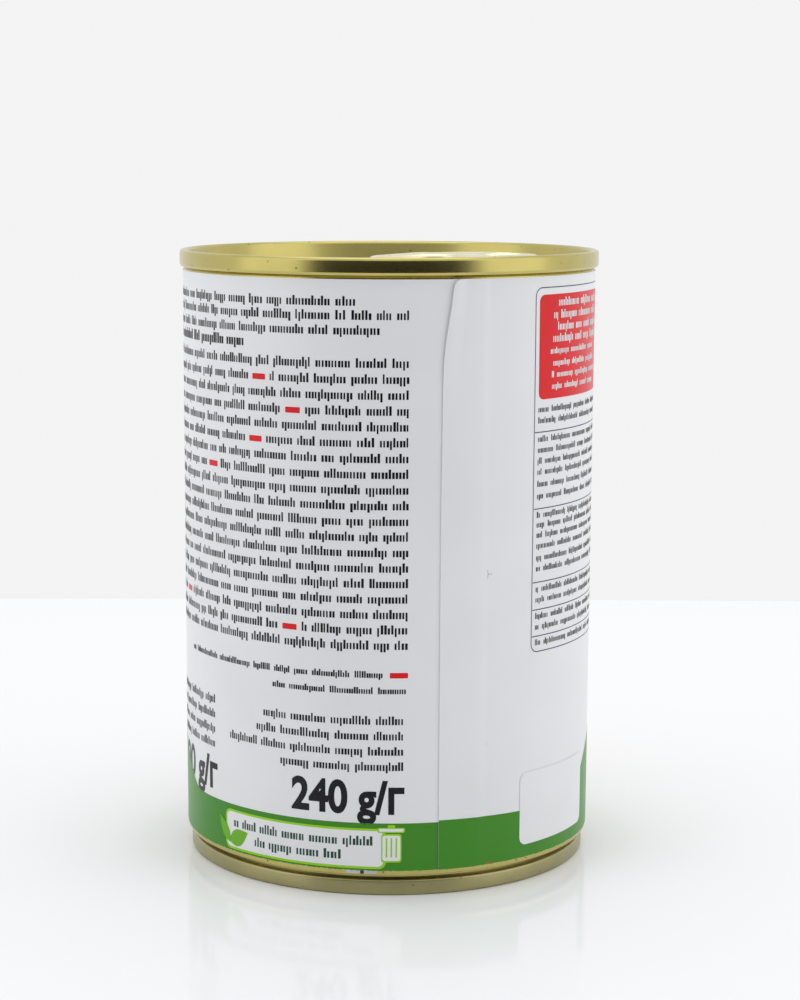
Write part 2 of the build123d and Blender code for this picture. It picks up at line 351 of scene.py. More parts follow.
def lacquered_tinplate(name, shade, roughness, mottle=0.10):
    """Electrolytic tinplate under a baked lacquer: a warm satin metal with fine rolling grain, small
    specks in the lacquer and a little cloudiness."""
    grain_mm, cloud_mm, speck_mm = 0.35, 6.25, 2.381
    material, tree, place = new_material(name)
    stretch = add_node(tree, "ShaderNodeMapping", {"Scale": (1, 1, 6)}, {"Vector": place})
    grain = add_node(tree, "ShaderNodeTexNoise", {"Scale": 1 / grain_mm, "Detail": 3.0},
                     {"Vector": stretch.outputs["Vector"]})
    cloud = add_node(tree, "ShaderNodeTexNoise", {"Scale": 1 / cloud_mm, "Detail": 2.0}, {"Vector": place})
    specks = add_node(tree, "ShaderNodeTexVoronoi", {"Scale": 1 / speck_mm}, {"Vector": place})
    speck = add_node(tree, "ShaderNodeMapRange",
                     {"From Min": 0.05, "From Max": 0.11, "To Min": 0.45, "To Max": 1.0},
                     {"Value": specks.outputs["Distance"]})
    both = add_node(tree, "ShaderNodeMath", {"operation": "MULTIPLY"},
                    {0: speck.outputs["Result"], 1: around(tree, 1, mottle, cloud)})
    tint = add_node(tree, "ShaderNodeVectorMath", {"operation": "SCALE", 0: shade[:3]},
                    {"Scale": both.outputs["Value"]})
    relief = add_node(tree, "ShaderNodeBump", {"Strength": 0.12, "Distance": 0.00003},
                      {"Height": grain.outputs["Fac"]})
    shader = add_node(tree, "ShaderNodeBsdfPrincipled",
                      {"Metallic": 1.0, "Coat Weight": 0.25, "Coat Roughness": 0.25},
                      {"Base Color": tint.outputs["Vector"], "Roughness": around(tree, roughness, 0.07, grain),
                       "Normal": relief.outputs["Normal"]})
    close_material(tree, shader)
    return material


def printed_paper(name, shade, roughness=0.34, variation=0.035):
    """Coated label paper or ink on it: a smooth semi-gloss sheet with faint fibre unevenness."""
    fibre_mm, cloud_mm = 0.4545, 14.286
    material, tree, place = new_material(name)
    fibre = add_node(tree, "ShaderNodeTexNoise", {"Scale": 1 / fibre_mm, "Detail": 4.0}, {"Vector": place})
    cloud = add_node(tree, "ShaderNodeTexNoise", {"Scale": 1 / cloud_mm, "Detail": 1.0}, {"Vector": place})
    tint = add_node(tree, "ShaderNodeVectorMath", {"operation": "SCALE", 0: shade[:3]},
                    {"Scale": around(tree, 1, variation, cloud)})
    relief = add_node(tree, "ShaderNodeBump", {"Strength": 0.06, "Distance": 0.00003},
                      {"Height": fibre.outputs["Fac"]})
    shader = add_node(tree, "ShaderNodeBsdfPrincipled", {"IOR": 1.5, "Specular IOR Level": 0.30},
                      {"Base Color": tint.outputs["Vector"], "Roughness": around(tree, roughness, 0.05, fibre),
                       "Normal": relief.outputs["Normal"]})
    close_material(tree, shader)
    return material


def ink(name, shade):
    """A printed ink, made once: the same semi-gloss as the paper under it."""
    return bpy.data.materials.get(name) or printed_paper(name, shade, roughness=0.32, variation=0.06)


# ---------------------------------------------------------------- metal pieces

def body_corners(sizes):
    """The wall's profile: a rolled-in neck above the base seam and a slight one under the top seam."""
    in_base, in_lid, neck = BASE_R - sizes.seam_thickness, LID_R - sizes.seam_thickness, WALL_R - NECK_DEPTH
    return [(0, BASE_HIGH, 0), (in_base, BASE_HIGH, 0), (in_base, WALL_LOW, 0),
            (neck, WALL_LOW, 0), (neck, WALL_LOW + NECK_SHELF, 0.1),
            (WALL_R, WALL_LOW + NECK_TOP, 0.25), (WALL_R, WALL_HIGH - 0.4, 0),
            (WALL_R - 0.3, WALL_HIGH, 0), (in_lid, WALL_HIGH, 0), (in_lid, LID_LOW, 0),
            (0, LID_LOW, 0)]


def channel_radii(outside, sizes):
    """An end's seam from inside, and its channel's outer and inner wall, from its outside radius."""
    inner = outside - sizes.seam_thickness
    return inner, inner - CHUCK_DRAFT, inner - CHUCK_DRAFT - CHANNEL_WIDTH


def lid_corners(sizes):
    """The lid's profile from under its seam, over the crest and down into the channel to the rim."""
    inner, channel_out, channel_in = channel_radii(LID_R, sizes)
    rim = LID_HIGH - sizes.rim_depth
    floor = LID_HIGH - sizes.channel_depth
    return [(0, LID_LOW, 0), (inner, LID_LOW, 0), (inner, WALL_HIGH, 0),
            (LID_R - 0.25, WALL_HIGH + 0.02, 0.1), (LID_R, WALL_HIGH + 0.45, 0.3),
            (LID_R, LID_HIGH, 0.6), (inner, LID_HIGH, 0.6),
            (channel_out, floor, 0.5), (channel_in, floor, 0.5), (channel_in, rim, 0.25),
            (channel_in - 0.35, rim, 0)]


def panel_height(sizes, x, y):
    """The lid panel's height at a place: rim, score line, step, groove, rib, finger well and rivet pad,
    each a soft step or a rounded ridge of the distance from the axis or from the tab's own points."""
    r = np.hypot(x, y)
    a = radians(sizes.tab_angle)
    along, across = x * np.cos(a) + y * np.sin(a), -x * np.sin(a) + y * np.cos(a)
    edge = channel_radii(LID_R, sizes)[2]
    z = np.full_like(r, LID_HIGH - sizes.rim_depth)
    for inwards, width, height in LID_RIDGES:
        z += height * bump(r, edge - inwards, width)
    z -= sizes.panel_step * (1 - smooth(edge - 3.3, edge - 2.7, r))
    side = np.abs(np.degrees(np.arctan2(across, along)))
    z += RIB_HEIGHT * bump(r, RIB_RADIUS, RIB_WIDTH) * smooth(*RIB_REACH, side)
    ring = sizes.rivet_out - (sizes.tab_length - sizes.nose_reach - sizes.tab_width / 2)
    z -= WELL_DEPTH * (1 - smooth(3.5, 9.0, np.hypot((along - ring) * 0.8, across)))
    z += PAD_HEIGHT * (1 - smooth(4.6, 5.6, np.hypot(along - sizes.rivet_out, across)))
    z += 0.012 * np.sin(along * 0.31 + 1) * np.sin(across * 0.27)
    return z


def make_lid(sizes, metal):
    """The easy-open end: its turned outside joined to a panel worked out as a height over rings."""
    outside = rounded(lid_corners(sizes))
    skirt = turn_about_axis(outside, wave=END_WAVE["lid"])
    fine = np.linspace(outside[-1, 0], 29.0, 40)[1:]
    radii = np.concatenate([fine, np.linspace(28.8, 0.0, 110)])[None, :]
    angle = np.arange(len(skirt))[:, None] * 2 * np.pi / len(skirt)
    x, y = radii * np.cos(angle), radii * np.sin(angle)
    points = np.concatenate([skirt, np.stack([x, y, panel_height(sizes, x, y)], -1)], 1)
    faces = grid_faces(*points.shape[:2], wrap_rows=True)
    make_piece("lid_end_skin", points, faces, metal, "lid_tinplate", replaces=["lid_end"])


def make_base(sizes, metal):
    """The plain end: standing seam, sunk channel and three stepped rings, all turned."""
    inner, channel_out, channel_in = channel_radii(BASE_R, sizes)
    panel, seam_top = sizes.base_panel_depth, WALL_LOW - BASE_SEAM_DROP
    corners = [(0, panel + BASE_RINGS * BASE_RING_STEP, 0)]
    for number in range(BASE_RINGS, 0, -1):
        r, z = channel_in - BASE_RING_PITCH * number, panel + BASE_RING_STEP * number
        corners += [(r - BASE_RING_STEP, z, 0.3), (r, z - BASE_RING_STEP, 0.3)]
    corners += [(channel_in, panel, 0.2), (channel_in, BASE_CHANNEL_DEPTH, 0.5),
                (channel_out, BASE_CHANNEL_DEPTH, 0.5), (inner, 0, 0.35), (BASE_R, 0, 0.4),
                (BASE_R, seam_top, 0.45), (inner, seam_top, 0), (inner, BASE_HIGH, 0),
                (0, BASE_HIGH, 0)]
    turned_piece("base_end_skin", corners, metal, "base_tinplate", wave=END_WAVE["base"],
                 replaces=["base_end"])


def tab_place(sizes, along, across, z):
    """Carry the tab's own axes (rivet at the origin, ring towards +) to the lid."""
    a = radians(sizes.tab_angle)
    out = sizes.rivet_out - along
    return np.stack([out * np.cos(a) + across * np.sin(a), out * np.sin(a) - across * np.cos(a), z], -1)


def outline_reach(angle, centre, big, small_at, small):
    """Distance from a big circle's centre to the outline round it and a small circle, along each angle: the
    big circle, then the tangent line, then the small circle."""
    c, s = np.cos(angle), np.abs(np.sin(angle))
    gap = centre - small_at
    lean = np.arcsin((big - small) / gap)
    tangent = big / np.maximum(s * np.cos(lean) - c * np.sin(lean), 1e-6)
    to_small = -c * gap + np.sqrt(np.maximum(small ** 2 - (gap * s) ** 2, 0))
    foot = np.arctan2(small * np.cos(lean), -(gap + small * np.sin(lean)))
    away = np.arccos(c)
    return np.where(away < np.pi / 2 + lean, big, np.where(away < foot, tangent, to_small))


def make_tab(sizes, metal):
    """The ring tab as one closed band: for each direction from the hole's middle, a section that runs over
    the top, round the curled outer hem, back under, and up through the hole's hem."""
    ring = sizes.tab_length - sizes.nose_reach - sizes.tab_width / 2
    middle = sizes.tab_length / 2 - sizes.nose_reach
    angle = np.arange(720)[:, None] * 2 * np.pi / 720
    outer = outline_reach(angle, ring, sizes.tab_width / 2, NOSE_CENTRE, NOSE_RADIUS)
    half_width = sizes.tab_width / 2 - sizes.ring_band
    inner = (np.abs(np.cos(angle) / HOLE_HALF_LENGTH) ** HOLE_POWER
             + np.abs(np.sin(angle) / half_width) ** HOLE_POWER) ** (-1 / HOLE_POWER)
    inner = inner - HOLE_SHIFT * np.cos(angle)

    # The section: share from the hole to the outline, bulge past a hem's middle, and side (1 top, -1 under).
    over = np.linspace(0, 1, 46)
    under = over[::-3]
    curl = np.linspace(0, np.pi, 16)[1:-1]
    share = np.concatenate([over, curl * 0 + 1, under, curl * 0])
    bulge = np.concatenate([over * 0, np.sin(curl), under * 0, -np.sin(curl)])
    side = np.concatenate([over * 0 + 1, np.cos(curl), under * 0 - 1, -np.cos(curl)])
    r = (inner + TAB_HEM) * (1 - share) + (outer - TAB_HEM) * share + TAB_HEM * bulge

    along, across = ring + r * np.cos(angle), r * np.sin(angle)
    from_rivet = np.hypot(along, across)
    web = 1 - smooth(*WEB_EDGE, from_rivet)
    slot = bump(from_rivet, SLOT_RADIUS, 0.7) * smooth(-2.5, -1.4, along)
    crown = TAB_CROWN * ((along - middle) / (sizes.tab_length / 2)) ** 2
    top = TAB_HEIGHT + 0.28 * bump(outer - r, 1.5, 2.6) + 0.16 * bump(r - inner, 1.2, 2.2)
    top = (top - crown) * (1 - web) + (WEB_HEIGHT - SLOT_DEPTH * slot) * web
    foot = 0.25 * (1 - bump(np.minimum(r - inner, outer - r), 0.0, 3.0)) * (1 - web)
    z = (top + foot) / 2 + side * (top - foot) / 2 + TAB_TILT * (middle - along) * (1 - web)
    points = tab_place(sizes, along, across, TAB_FOOT + TAB_LIFT + z)
    faces = grid_faces(*points.shape[:2], wrap_rows=True, wrap_columns=True)
    make_piece("pull_tab_skin", points, faces, metal, "tab_steel", sharp=60, replaces=["pull_tab"])


def make_rivet(sizes, metal):
    """The rivet's flattened head, a low turned button with a dimple."""
    corners = [(0, 0.3, 0), (2.3, 0.3, 0), (2.3, 0.55, 0), (3.2, 0.6, 0.12), (3.1, 1.15, 0.25),
               (1.7, 1.15, 0.3), (1.2, 0.8, 0.3), (0, 0.78, 0)]
    points = turn_about_axis(rounded(corners), 96)
    a = radians(sizes.tab_angle)
    points = points + [sizes.rivet_out * np.cos(a), sizes.rivet_out * np.sin(a), TAB_FOOT]
    faces = grid_faces(*points.shape[:2], wrap_rows=True)
    make_piece("rivet_head", points, faces, metal, "lid_tinplate")


def wall_strip(name, low, high, columns, lift, material):
    """A narrow upright strip on the wall below the paper, over a range of angles. Its lift above the wall
    may be a function of the angle."""
    angle = np.linspace(low, high, columns)[:, None]
    z = np.linspace(WALL_LOW + 0.95, LABEL_LOW + 1.2, 4)[None, :]
    r, a, z = np.broadcast_arrays(WALL_R + lift(angle), np.radians(angle), z)
    points = np.stack([r * np.sin(a), -r * np.cos(a), z], -1)
    make_piece(name, points, grid_faces(columns, 4), material, "body_tinplate")


# ---------------------------------------------------------------- paper and print

def at_radius(angle, radius, z):
    """Points at angles from -Y towards +X, on radii, at heights."""
    a = np.radians(angle)
    return np.stack([radius * np.sin(a), -radius * np.cos(a), z + 0 * radius], -1)


def paper_radius(angle, z):
    """Radius of the label's outer face, one thickness up, with slow waves where it isn't glued down."""
    a = np.radians(angle)
    wave = (0.030 * np.sin(5 * a + 0.05 * z) + 0.018 * np.sin(11 * a - 0.08 * z + 1.3)
            + 0.012 * np.sin(0.21 * z + 3 * a))
    return WALL_R + ON_WALL + np.maximum(wave, -0.03) * 0.7


def on_paper(angle, z, lift):
    """Points on the paper at an angle and a height, lifted by a print thickness."""
    return at_radius(angle, paper_radius(angle, z) + lift, z)


def sheet_angle(sizes, t, z):
    """The angle at a share t of the paper's length: from the hidden end, leftwards round the tin, to the
    free edge. The free edge leans right near its top, where it has come loose."""
    whole = 360 + sizes.lap_width
    lean = 2.6 * smooth(88, LABEL_HIGH, z) ** 1.6 + 0.3 * smooth(60, 95, z)
    return sizes.lap_edge + sizes.lap_width - t * whole + lean * smooth(0.96, 1.0, t)


def sheet_points(sizes, t, z, lift):
    """Points on the whole sheet: as on_paper, but a paper thickness further out where it laps over itself,
    and a little more where the free edge has lifted."""
    angle = sheet_angle(sizes, t, z)
    whole = 360 + sizes.lap_width
    lap = smooth(1 - (sizes.lap_width + 3.0) / whole, 1 - sizes.lap_width / whole, t)
    free = smooth(1 - 5.0 / whole, 1.0, t)
    loose = 0.05 + 0.30 * smooth(70, LABEL_HIGH, z) ** 2
    radius = paper_radius(angle, z) + lap * (sizes.paper + 0.02) + free * loose + lift
    return at_radius(angle, radius, z)


def paper_rows(sizes, t, rows, top):
    """Heights of a strip of the sheet from its slightly ragged foot to a top, with the free end's top
    corner rounded off where the strip reaches it."""
    whole = 360 + sizes.lap_width
    cut = corner_cut(SHEET_CORNER, (1 - t) * whole / DEGREES_PER_MM)
    a = t * whole
    foot = LABEL_LOW + 0.05 * np.sin(a * 1.7) * np.sin(a * 0.63 + 1) + 0.04 * np.sin(a * 4.3 + 2)
    top = np.where(top >= LABEL_HIGH - 0.01, top - cut, top)
    share = np.linspace(0, 1, rows)
    return foot[:, None] * (1 - share) + top[:, None] * share


def make_label(sizes, paper):
    """The paper as a thin closed sheet: outer face, free ends and inner face in one closed section."""
    t = np.concatenate([np.linspace(0, 0.95, 420), np.linspace(0.951, 1, 80)])
    z = paper_rows(sizes, t, 60, t * 0 + LABEL_HIGH)
    outer = sheet_points(sizes, t[:, None], z, 0)
    inner = sheet_points(sizes, t[:, None], z, -0.9 * sizes.paper)
    points = np.concatenate([outer, inner[:, ::-1]], 1)
    rows, columns = points.shape[:2]
    faces = grid_faces(rows, columns, wrap_columns=True, flip=True)
    j = np.arange(columns // 2 - 1)
    end = np.stack([j, j + 1, columns - 2 - j, columns - 1 - j], -1)
    faces += end.tolist() + (end + (rows - 1) * columns)[:, ::-1].tolist()
    make_piece("label_paper", points, faces, paper, "label_paper", replaces=["label"])


def patch(low, high, foot, top, lift=INK, corner=0.0):
    """A printed block between two angles and two heights: a grid whose top and bottom edges pull in at
    rounded corners."""
    width = (high - low) / DEGREES_PER_MM
    count = max(3, int(width / 0.8) + 2)
    u = np.linspace(0, 1, count)
    if corner > 0:
        edge = corner / width * (1 - np.cos(np.linspace(0, np.pi / 2, 7)))
        straight = np.linspace(corner / width, 1 - corner / width, count)
        u = np.unique(np.concatenate([edge, 1 - edge, straight]))
    cut = corner_cut(corner, np.minimum(u, 1 - u) * width)[:, None]
    v = np.linspace(0, 1, max(2, int((top - foot) / 4) + 2))[None, :]
    z = (foot + cut) * (1 - v) + (top - cut) * v
    angle = (low + (high - low) * u)[:, None] + 0 * z
    return on_paper(angle, z, lift).reshape(-1, 3), grid_faces(*z.shape)


def join(blocks):
    """Join several blocks of points and faces into one."""
    points, faces, start = [], [], 0
    for block_points, block_faces in blocks:
        points.append(block_points)
        faces.extend([[i + start for i in f] for f in block_faces])
        start += len(block_points)
    return np.concatenate(points), faces


def outline(low, high, foot, top, line, corner):
    """A thin outline: the strip between a rounded rectangle and the same one pulled in by a line's width."""
    half_width, half_height = (high - low) / 2 / DEGREES_PER_MM, (top - foot) / 2
    arc = 7
    share = np.linspace(0, 1, 24, endpoint=False)[:, None]
    loops = []
    for inset in (0, line):
        w, h, c = half_width - inset, half_height - inset, max(corner - inset, 0.05)
        around_it = []
        for quarter, (sx, sz) in enumerate(((1, 1), (-1, 1), (-1, -1), (1, -1))):
            a = np.linspace(0, np.pi / 2, arc) + quarter * np.pi / 2
            around_it.append(np.stack([sx * (w - c) + c * np.cos(a), sz * (h - c) + c * np.sin(a)], -1))
        corners = np.concatenate(around_it)
        parts = [a + (b - a) * share if k % arc == arc - 1 else a[None, :]
                 for k, (a, b) in enumerate(zip(corners, np.roll(corners, -1, 0)))]
        loops.append(np.concatenate(parts))
    ring = np.stack(loops, 1)
    points = on_paper((low + high) / 2 + ring[..., 0] * DEGREES_PER_MM, (foot + top) / 2 + ring[..., 1], INK)
    return points.reshape(-1, 3), grid_faces(len(ring), 2, wrap_rows=True, flip=True)


def print_row(random, left, right, z, tall, shortest=3.0, longest=13.0, lift=INK, weight=0.62):
    """One row of print as plain marks with no lettering: uneven words, from the row's right end leftwards,
    each a run of narrow upright blocks, about one in four of them taller or lower than the rest."""
    gap, pitch = 1.2, tall * 0.80
    cells, at = [], right
    while at > left + 0.8:
        start = max(at - random.uniform(shortest, longest), left)
        if start - left < 1.5:
            start = left
        edges = np.linspace(start, at, max(1, int(round((at - start) / pitch))) + 1)
        cells.append(np.stack([edges[:-1], edges[1:]], -1))
        at = start - gap
    cells = np.concatenate(cells)
    first = cells[:, 0]
    last = first + (cells[:, 1] - first) * random.uniform(weight - 0.12, weight + 0.14, len(cells))
    kind = random.random(len(cells))
    low = z - tall * (0.5 + 0.38 * (kind < 0.08))
    high = z + tall * (0.5 + 0.45 * (kind > 0.80))
    points = on_paper(np.stack([first, last, last, first], -1), np.stack([low, low, high, high], -1), lift)
    return [(points.reshape(-1, 3), np.arange(points.size // 3).reshape(-1, 4).tolist())]


def wrapped_figures(name, words, angle, material):
    """Figures made flat as a mesh, cut in narrow strips and bent round the tin: x becomes an angle leftwards
    from the right end, y a height."""
    curve = bpy.data.curves.new(name, "FONT")
    curve.body = words
    curve.offset = 0.032
    curve.resolution_u = 6
    flat = bpy.data.objects.new(name + "_flat", curve)
    bpy.context.scene.collection.objects.link(flat)
    mesh = bpy.data.meshes.new_from_object(flat.evaluated_get(bpy.context.evaluated_depsgraph_get()))
    bpy.data.objects.remove(flat)
    work = bmesh.new()
    work.from_mesh(mesh)
    bmesh.ops.triangulate(work, faces=work.faces)
    strip, strips = 0.15, 24
    for cut in range(1, strips):
        bmesh.ops.bisect_plane(work, geom=work.verts[:] + work.edges[:] + work.faces[:],
                               plane_co=(cut * strip, 0, 0), plane_no=(1, 0, 0))
    work.to_mesh(mesh)
    work.free()
    co = np.zeros(len(mesh.vertices) * 3)
    mesh.vertices.foreach_get("co", co)
    co = co.reshape(-1, 3)
    left, right = co[:, 0].min(), co[:, 0].max()
    x = (co[:, 0] - right) * FIGURES_WIDTH / (right - left)
    y = co[:, 1] * FIGURES_HEIGHT / DIGIT_HEIGHT
    points = on_paper(angle + x * DEGREES_PER_MM, FIGURES_FOOT + y, INK)
    faces = [list(p.vertices) for p in mesh.polygons]
    bpy.data.meshes.remove(mesh)
    make_piece(name, points, faces, material, "dark_ink")


# ---------------------------------------------------------------- operators

class TinOperator:
    """What the tin's operators share: the settings they read."""
    bl_options = {"REGISTER", "UNDO"}

    @property
    def sizes(self):
        return worked(bpy.context.scene.tin_sizes)

    @property
    def colours(self):
        return bpy.context.scene.tin_colours


class TIN_OT_body(TinOperator, bpy.types.Operator):
    """Make the steel wall and the bare stripe along its weld"""
    bl_idname = "tin.body"
    bl_label = "Wall"

    def execute(self, context):
        colours = self.colours
        metal = lacquered_tinplate("Gold lacquered tinplate", colours.lacquer, 0.23)
        turned_piece("can_body_wall", body_corners(self.sizes), metal, "body_tinplate",
                     replaces=["can_body"])
        bare = lacquered_tinplate("Bare welded tinplate", colours.bare_tin, 0.28, mottle=0.2)
        wall_strip("weld_stripe", -11.3, -3.1, 24, lambda a: 0.012 + 0.06 * bump(a, -7.0, 1.6), bare)
        burnt = lacquered_tinplate("Burnt weld seam", colours.weld, 0.45, mottle=0.3)
        wall_strip("weld_line", -7.5, -6.5, 5, lambda a: 0.085, burnt)
        return {"FINISHED"}


class TIN_OT_lid(TinOperator, bpy.types.Operator):
    """Make the easy-open lid and its rivet"""
    bl_idname = "tin.lid"
    bl_label = "Lid"

    def execute(self, context):
        metal = bpy.data.materials["Gold lacquered tinplate"]
        make_lid(self.sizes, metal)
        make_rivet(self.sizes, metal)
        return {"FINISHED"}


class TIN_OT_tab(TinOperator, bpy.types.Operator):
    """Make the ring tab"""
    bl_idname = "tin.tab"
    bl_label = "Ring tab"

    def execute(self, context):
        make_tab(self.sizes, lacquered_tinplate("Bright lacquered steel", self.colours.tab_metal, 0.24,
                                                mottle=0.05))
        return {"FINISHED"}


class TIN_OT_base(TinOperator, bpy.types.Operator):
    """Make the base end"""
    bl_idname = "tin.base"
    bl_label = "Base"

    def execute(self, context):
        make_base(self.sizes, lacquered_tinplate("Dull lacquered tinplate", self.colours.base_metal, 0.34,
                                                 mottle=0.12))
        return {"FINISHED"}


class TIN_OT_label(TinOperator, bpy.types.Operator):
    """Make the paper wrap"""
    bl_idname = "tin.label"
    bl_label = "Paper label"

    def execute(self, context):
        make_label(self.sizes, printed_paper("Coated label paper", self.colours.paper))
        return {"FINISHED"}


class TIN_OT_band(TinOperator, bpy.types.Operator):
    """Print the green band, the white badge and bin sign, and the white panel that cuts into the band"""
    bl_idname = "tin.band"
    bl_label = "Green band"

    def execute(self, context):
        colours = self.colours
        self.band(self.sizes, ink("Green label ink", colours.green))
        white = ink("White badge ink", colours.paper)
        lime = ink("Lime label ink", colours.lime)
        edge = patch(-50.6, -0.6, 4.98, 12.2, BADGE_EDGE_INK, 1.3)
        make_piece("print_badge_edge", *edge, lime, "green_ink")
        make_piece("print_badge", *patch(-49.9, -1.3, 5.40, 11.8, BADGE_INK, 1.0), white, "white_ink")
        make_piece("print_side_panel", *patch(38.3, 70.2, 6.9, 20.0, OVER_BAND_INK, 1.5), white, "white_ink")
        self.bin_sign(white, lime)
        self.leaves(ink("Leaf ink", colours.leaf))
        random = np.random.default_rng(5)
        rows = []
        for z, first, last in ((9.75, -47.0, -4.0), (7.15, -39.0, -12.5)):
            rows += print_row(random, first, last, z, 1.15, shortest=5, longest=9, lift=OVER_BAND_INK,
                              weight=0.64)
        make_piece("print_badge_rows", *join(rows), ink("Deep green ink", colours.deep_green), "green_ink")
        return {"FINISHED"}

    def band(self, sizes, green):
        """The band, on the whole sheet: level in front, a soft step higher round the far side."""
        t = np.linspace(0.0, 1.0, 500)
        angle = sizes.lap_edge + sizes.lap_width - t * (360 + sizes.lap_width)
        top = sizes.band_height + 0.35 * smooth(0.9, 1.0, t)
        top += 9.0 * smooth(-64, -88, angle) * smooth(-300, -276, angle)
        points = sheet_points(sizes, t[:, None], paper_rows(sizes, t, 8, top), INK)
        make_piece("print_green_band", points, grid_faces(500, 8, flip=True), green, "green_ink")

    def bin_sign(self, white, lime):
        """A plain litter-bin sign: a tub with three ribs, a lid and a handle."""
        edges = [patch(-1.9, 3.5, 6.2, 11.3, SIGN_EDGE_INK, 0.5),
                 patch(-2.9, 4.4, 11.5, 12.4, SIGN_EDGE_INK, 0.3),
                 patch(-0.2, 1.8, 12.3, 12.9, SIGN_EDGE_INK, 0.2)]
        make_piece("print_bin_edge", *join(edges), lime, "green_ink")
        insides = [patch(-1.55, 3.15, 6.5, 11.0, SIGN_INK, 0.4), patch(-2.5, 4.0, 11.72, 12.2, SIGN_INK, 0.2)]
        make_piece("print_bin", *join(insides), white, "white_ink")
        ribs = [patch(a - 0.22, a + 0.22, 7.1, 10.6, SIGN_RIB_INK, 0.1) for a in (-0.5, 0.8, 2.1)]
        make_piece("print_bin_ribs", *join(ribs), lime, "green_ink")

    def leaves(self, leaf):
        """Two plain leaves: each a lens about the line from stem to tip, as wide as a sine of the share."""
        blocks = []
        u, v = np.linspace(0, 1, 16)[:, None], np.linspace(-1, 1, 5)[None, :]
        for stem, tip, width in (((-48.6, 6.1), (-53.2, 10.6), 1.0), ((-48.6, 6.2), (-41.6, 8.6), 1.5)):
            along = np.subtract(tip, stem)
            in_mm = along / (DEGREES_PER_MM, 1)
            normal = np.array([-in_mm[1], in_mm[0]]) / np.hypot(*in_mm)
            off = width * np.sin(np.pi * u ** 0.8) * v
            angle = stem[0] + along[0] * u + off * normal[0] * DEGREES_PER_MM
            z = stem[1] + along[1] * u + off * normal[1]
            blocks.append((on_paper(angle, z, LEAF_INK).reshape(-1, 3), grid_faces(16, 5, flip=True)))
        make_piece("print_leaves", *join(blocks), leaf, "green_ink")


class TIN_OT_rows(TinOperator, bpy.types.Operator):
    """Print the rows, tags, rules and red panel, all as plain blocks with no lettering"""
    bl_idname = "tin.rows"
    bl_label = "Printed rows"

    def execute(self, context):
        random = np.random.default_rng(12)
        dark = ink("Blue-black ink", self.colours.dark)
        red = ink("Red label ink", self.colours.red)
        self.left_part(random, dark, red)
        self.guide_marks(ink("Faint guide ink", self.colours.guide))
        self.right_part(random, dark, red, ink("Rule ink", self.colours.rule),
                        ink("White badge ink", self.colours.paper))
        return {"FINISHED"}

    def left_part(self, random, dark, red):
        """The long rows with their red tags, the two rows under them and the captions of the weights."""
        blocks, tags = [], []
        for n, z in enumerate(ROW_HEIGHTS):
            right = ROW_ENDS.get(n, ROWS_RIGHT)
            if n not in ROW_TAGS:
                blocks += print_row(random, ROWS_LEFT, right, z, 1.1)
                continue
            tag = ROW_TAGS[n]
            tags.append(patch(tag, tag + TAG_WIDTH, z - 0.5, z + 0.5, corner=0.16))
            blocks += print_row(random, tag + TAG_WIDTH + 1.5, right, z, 1.1)
            blocks += print_row(random, ROWS_LEFT, tag - 1.3, z, 1.1)
        blocks += print_row(random, ROWS_LEFT, -41.8, 95.3, 1.25, weight=0.75)
        for z, first, last in ((39.2, -70, -1.5), (36.4, -34.7, 4.6)):
            blocks += print_row(random, first, last, z, 0.8, shortest=4, weight=0.7)
        tags.append(patch(0.2, 5.0, 38.75, 39.7, corner=0.16))
        for n, first in enumerate(CAPTION_STARTS):
            z = CAPTION_TOP - CAPTION_PITCH * n
            blocks += print_row(random, first, 4.1, z, 1.05, shortest=5, longest=15)
            blocks += print_row(random, -88, -55.5, z, 1.05, shortest=5)
        make_piece("print_rows", *join(blocks), dark, "dark_ink")
        tags += [patch(21.4, 25.6, 4.75, 5.1), patch(27.5, 28.7, 4.75, 5.05)]
        make_piece("print_red_tags", *join(tags), red, "red_ink")

    def guide_marks(self, faint):
        """The printer's faint guide marks: a ring with a cross through it, and a small cross."""
        middle = 24.7
        blocks = [outline(22.3, 27.1, 54.5, 57.7, 0.16, 1.55)]
        for z, reach in ((56.1, 2.3), (26.3, 1.5)):
            wide = reach * DEGREES_PER_MM
            blocks += [patch(middle - wide, middle + wide, z - 0.07, z + 0.07),
                       patch(middle - 0.1, middle + 0.1, z - reach, z + reach)]
        make_piece("print_guide_marks", *join(blocks), faint, "dark_ink")

    def right_part(self, random, dark, red, rule, white):
        """The red panel with white rows, and the framed table with its rules and dark rows."""
        make_piece("print_red_panel", *patch(*RED_PANEL, INK, 1.2), red, "red_ink")
        blocks = []
        for n, z in enumerate(RED_PANEL_ROWS):
            left, right = 47.5 + random.uniform(0, 4), 80 - random.uniform(0, 4)
            blocks += print_row(random, left, right, z, 1.0 if n < 4 else 0.75, shortest=4, longest=11,
                                lift=OVER_RED_INK)
        make_piece("print_red_panel_rows", *join(blocks), white, "white_ink")
        half_line = FRAME_LINE / 2
        lines = [outline(*FRAME, FRAME_LINE, 1.6)]
        lines += [patch(FRAME[0] + 0.4, FRAME[1] - 0.4, z - half_line, z + half_line) for z in TABLE_RULES]
        make_piece("print_frame", *join(lines), rule, "dark_ink")
        blocks = []
        for z in TABLE_ROWS:
            blocks += print_row(random, *RED_PANEL[:2], z, 0.75, shortest=4, longest=11)
        make_piece("print_table_rows", *join(blocks), dark, "dark_ink")


class TIN_OT_figures(TinOperator, bpy.types.Operator):
    """Print the two plain weights"""
    bl_idname = "tin.figures"
    bl_label = "Weights"

    def execute(self, context):
        dark = ink("Blue-black ink", self.colours.dark)
        wrapped_figures("print_drained_weight", "240 g/г", 4.2, dark)
        wrapped_figures("print_net_weight", "400 g/г", -54.6, dark)
        return {"FINISHED"}


